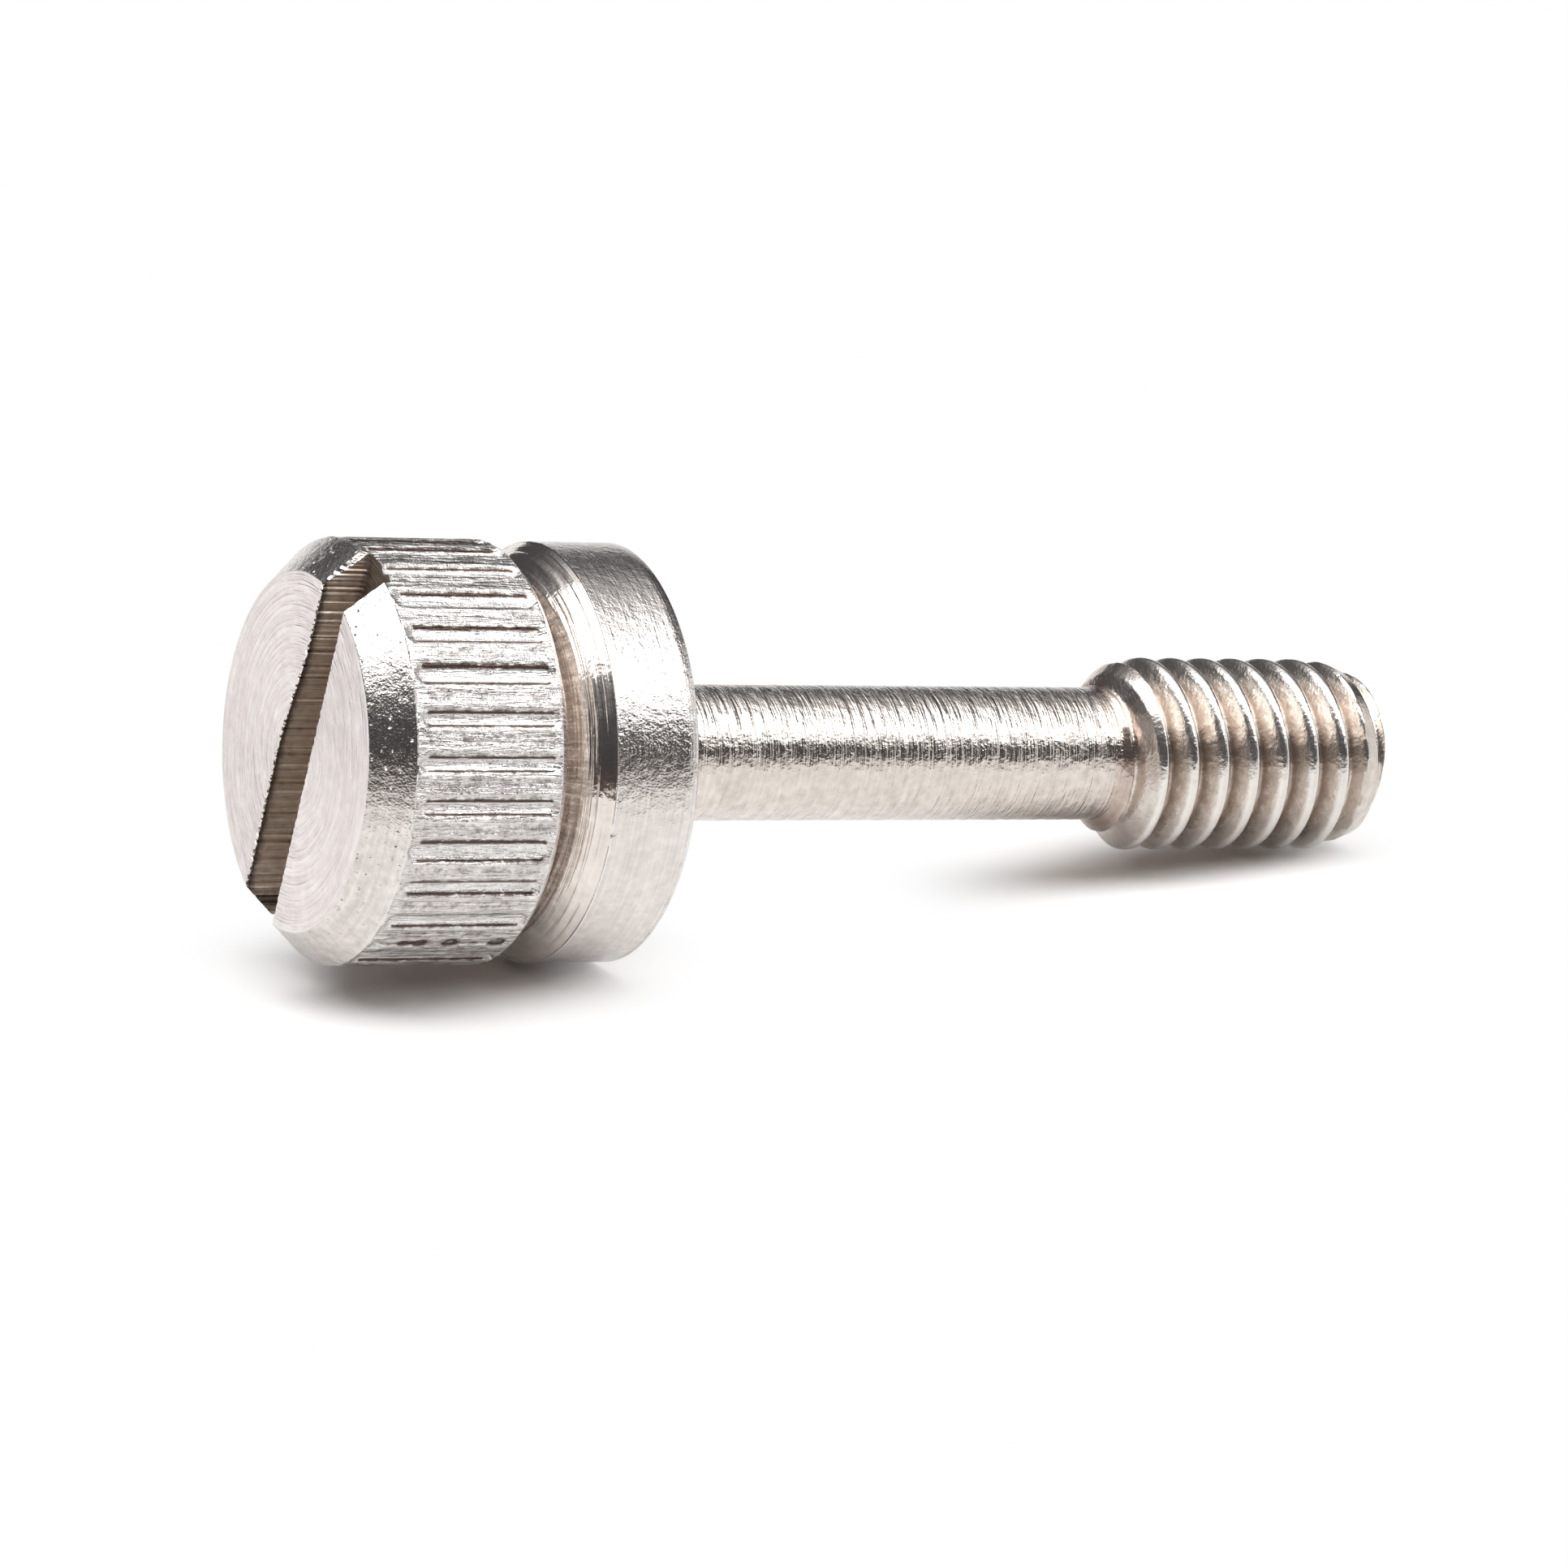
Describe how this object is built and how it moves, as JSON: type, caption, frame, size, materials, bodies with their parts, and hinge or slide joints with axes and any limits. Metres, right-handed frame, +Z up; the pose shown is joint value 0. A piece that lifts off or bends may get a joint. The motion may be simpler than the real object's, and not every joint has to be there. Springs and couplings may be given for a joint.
{
  "type": "captive screw",
  "caption": "Slotted captive panel screw with a straight-knurled head, retaining collar, relieved shank and short M4 thread.",
  "frame": {"origin": "on the surface that the screw lies on, midway along its length and width", "axes": "+X from the head towards the thread's tip, +Z up; the screw's own axis slopes 7.5 degrees down to the tip"},
  "size_m": [0.0238, 0.008, 0.0088],
  "materials": {
    "stainless": "turned stainless steel, bright on the cuts and matt on the end face and the knurl"
  },
  "bodies": {
    "root": {"captive_screw": "stainless"}
  },
  "joints": []
}
